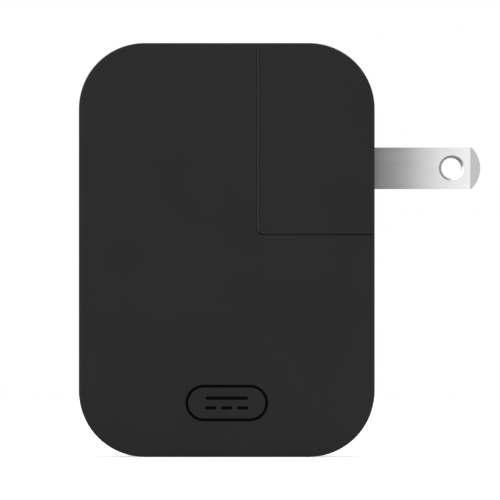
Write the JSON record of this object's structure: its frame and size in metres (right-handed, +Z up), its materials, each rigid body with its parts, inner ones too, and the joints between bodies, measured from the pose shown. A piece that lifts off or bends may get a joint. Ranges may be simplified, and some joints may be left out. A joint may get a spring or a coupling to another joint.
{
  "type": "laptop power adapter",
  "caption": "Wall-plug laptop power adapter: a flat rounded housing with a slide-off plug head in one corner, two flat blades and a USB-C output port.",
  "frame": {"origin": "middle of the housing's foot face, where the adapter stands", "axes": "+X towards the wall outlet, along the blades; +Y from the front face to the back face; +Z up, along the plug head's slide"},
  "size_m": [0.0617, 0.028, 0.0636],
  "materials": {
    "black_shell": "fine spark texture",
    "head_plastic": "fine spark texture",
    "inlet_plastic": "smooth moulded",
    "nickel_plate": "bright nickel",
    "stud_steel": "brushed",
    "board_laminate": "solder mask",
    "black_component": "matte",
    "gold_plate": "plated",
    "ferrite": "matte",
    "bobbin_plastic": "moulded",
    "winding_tape": "polyester tape",
    "capacitor_sleeve": "shrink sleeve",
    "film_capacitor": "moulded box",
    "ceramic_blue": "epoxy dip",
    "ferrite_green": "epoxy coat",
    "copper_wire": "enamelled",
    "fuse_brown": "moulded",
    "thermistor_green": "epoxy dip",
    "aluminium": "rolled",
    "white_component": "matte",
    "copper_sheet": "rolled",
    "clear_film": "polyester film",
    "thermal_pad": "soft",
    "brown_wire": "insulation",
    "blue_wire": "insulation",
    "bronze": "spring bronze"
  },
  "bodies": {
    "adapter": {"front_shell": "black_shell", "back_shell": "black_shell", "inlet_block": "inlet_plastic", "inlet_pin_line": "nickel_plate", "inlet_pin_neutral": "nickel_plate", "lock_stud": "stud_steel", "main_board": "board_laminate", "output_board": "board_laminate", "board_header": "black_component", "usb_c_shell": "stud_steel", "usb_c_tongue": "black_component", "usb_c_contacts": "gold_plate", "transformer_core": "ferrite", "transformer_bobbin": "bobbin_plastic", "transformer_winding": "winding_tape", "transformer_pins": "nickel_plate", "bulk_capacitor": "capacitor_sleeve", "output_capacitors": "capacitor_sleeve", "x_capacitor": "film_capacitor", "y_capacitor": "ceramic_blue", "choke_core": "ferrite_green", "choke_winding": "copper_wire", "fuse": "fuse_brown", "thermistor": "thermistor_green", "bridge_rectifier": "black_component", "power_transistor": "black_component", "heat_sink": "aluminium", "heat_sink_screw": "stud_steel", "optocoupler": "white_component", "controller_chips": "black_component", "heat_spreader": "copper_sheet", "insulation_sheet": "clear_film", "thermal_pad": "thermal_pad", "lead_line": "brown_wire", "lead_neutral": "blue_wire"},
    "plug_head": {"head_shell": "black_shell", "head_insert": "head_plastic", "blade_holder": "inlet_plastic", "blade_line": "nickel_plate", "blade_neutral": "nickel_plate", "contact_line": "bronze", "contact_neutral": "bronze", "blade_rivets": "bronze", "stud_spring": "stud_steel"}
  },
  "joints": [
    {"name": "plug_head_slide", "type": "slide", "parent": "adapter", "child": "plug_head", "axis": [0, 0, 1], "range_m": [0, 0.02]}
  ]
}
